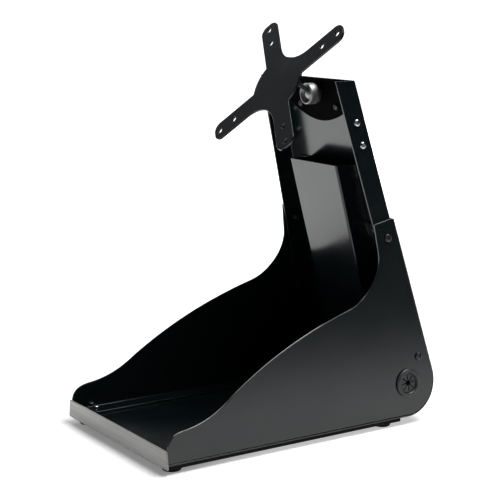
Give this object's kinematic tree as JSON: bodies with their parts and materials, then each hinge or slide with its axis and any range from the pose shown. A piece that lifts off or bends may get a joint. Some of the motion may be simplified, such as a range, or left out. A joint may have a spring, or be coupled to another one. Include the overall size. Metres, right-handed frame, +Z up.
{
  "type": "desktop display stand",
  "caption": "Folded-sheet tray stand with a leaning column, a cable cover and a ball-jointed cross plate that carries a small screen.",
  "frame": {"origin": "on the table under the middle of the stand's bounding box", "axes": "+Z up, -Y towards the open front of the tray, +X to the right when looking along +Y"},
  "size_m": [0.172, 0.2721, 0.3434],
  "materials": {
    "paint": "semi-gloss black powder coat",
    "plate_steel": "black",
    "trim_metal": "satin brushed",
    "bright_screw": "zinc plated",
    "black_screw": "black oxide",
    "rubber": "matte",
    "gloss_plastic": "gloss black",
    "nylon": "matte black",
    "satin_metal": "satin gunmetal",
    "flat_black": "flat black"
  },
  "bodies": {
    "stand": {"base_plate": "plate_steel", "base_shell": "paint", "front_trim": "trim_metal", "foot_right_front": "rubber", "foot_left_front": "rubber", "foot_right_rear": "rubber", "foot_left_rear": "rubber", "foot_screw_right_front": "bright_screw", "foot_screw_left_front": "bright_screw", "foot_screw_right_rear": "bright_screw", "foot_screw_left_rear": "bright_screw", "tray_screw_1": "bright_screw", "tray_screw_2": "bright_screw", "tray_screw_3": "bright_screw", "tray_screw_4": "bright_screw", "side_plate_right": "paint", "grommet_ring_right": "rubber", "grommet_star_right": "rubber", "side_screw_right_upper": "black_screw", "ear_screw_right_upper": "bright_screw", "cover_screw_right_upper": "black_screw", "side_screw_right_lower": "black_screw", "ear_screw_right_lower": "bright_screw", "cover_screw_right_lower": "black_screw", "bracket_screw_right": "black_screw", "side_plate_left": "paint", "grommet_ring_left": "rubber", "grommet_star_left": "rubber", "side_screw_left_upper": "black_screw", "ear_screw_left_upper": "bright_screw", "cover_screw_left_upper": "black_screw", "side_screw_left_lower": "black_screw", "ear_screw_left_lower": "bright_screw", "cover_screw_left_lower": "black_screw", "bracket_screw_left": "black_screw", "column": "paint", "cable_cover": "paint", "head_bracket": "flat_black", "socket_housing": "satin_metal", "retaining_ring": "satin_metal", "socket_nut": "bright_screw"},
    "liner": {"ball_liner": "nylon"},
    "ball": {"pivot_ball": "satin_metal", "head_neck": "black_screw"},
    "screen_plate": {"plate_hub": "gloss_plastic", "cross_plate": "paint", "plate_screw_1": "black_screw", "plate_screw_2": "black_screw", "plate_screw_3": "black_screw", "plate_screw_4": "black_screw"}
  },
  "joints": [
    {"name": "head_pan", "type": "hinge", "parent": "stand", "child": "liner", "pos_m": [0, 0.06118, 0.28353], "axis": [0, 0, 1], "range_deg": [-10, 10]},
    {"name": "head_tilt", "type": "hinge", "parent": "liner", "child": "ball", "pos_m": [0, 0.06118, 0.28353], "axis": [1, 0, 0], "range_deg": [-4, 50]},
    {"name": "plate_spin", "type": "hinge", "parent": "ball", "child": "screen_plate", "pos_m": [0, 0.06118, 0.28353], "axis": [0, -0.8572, 0.515], "range_deg": [-90, 90]}
  ]
}
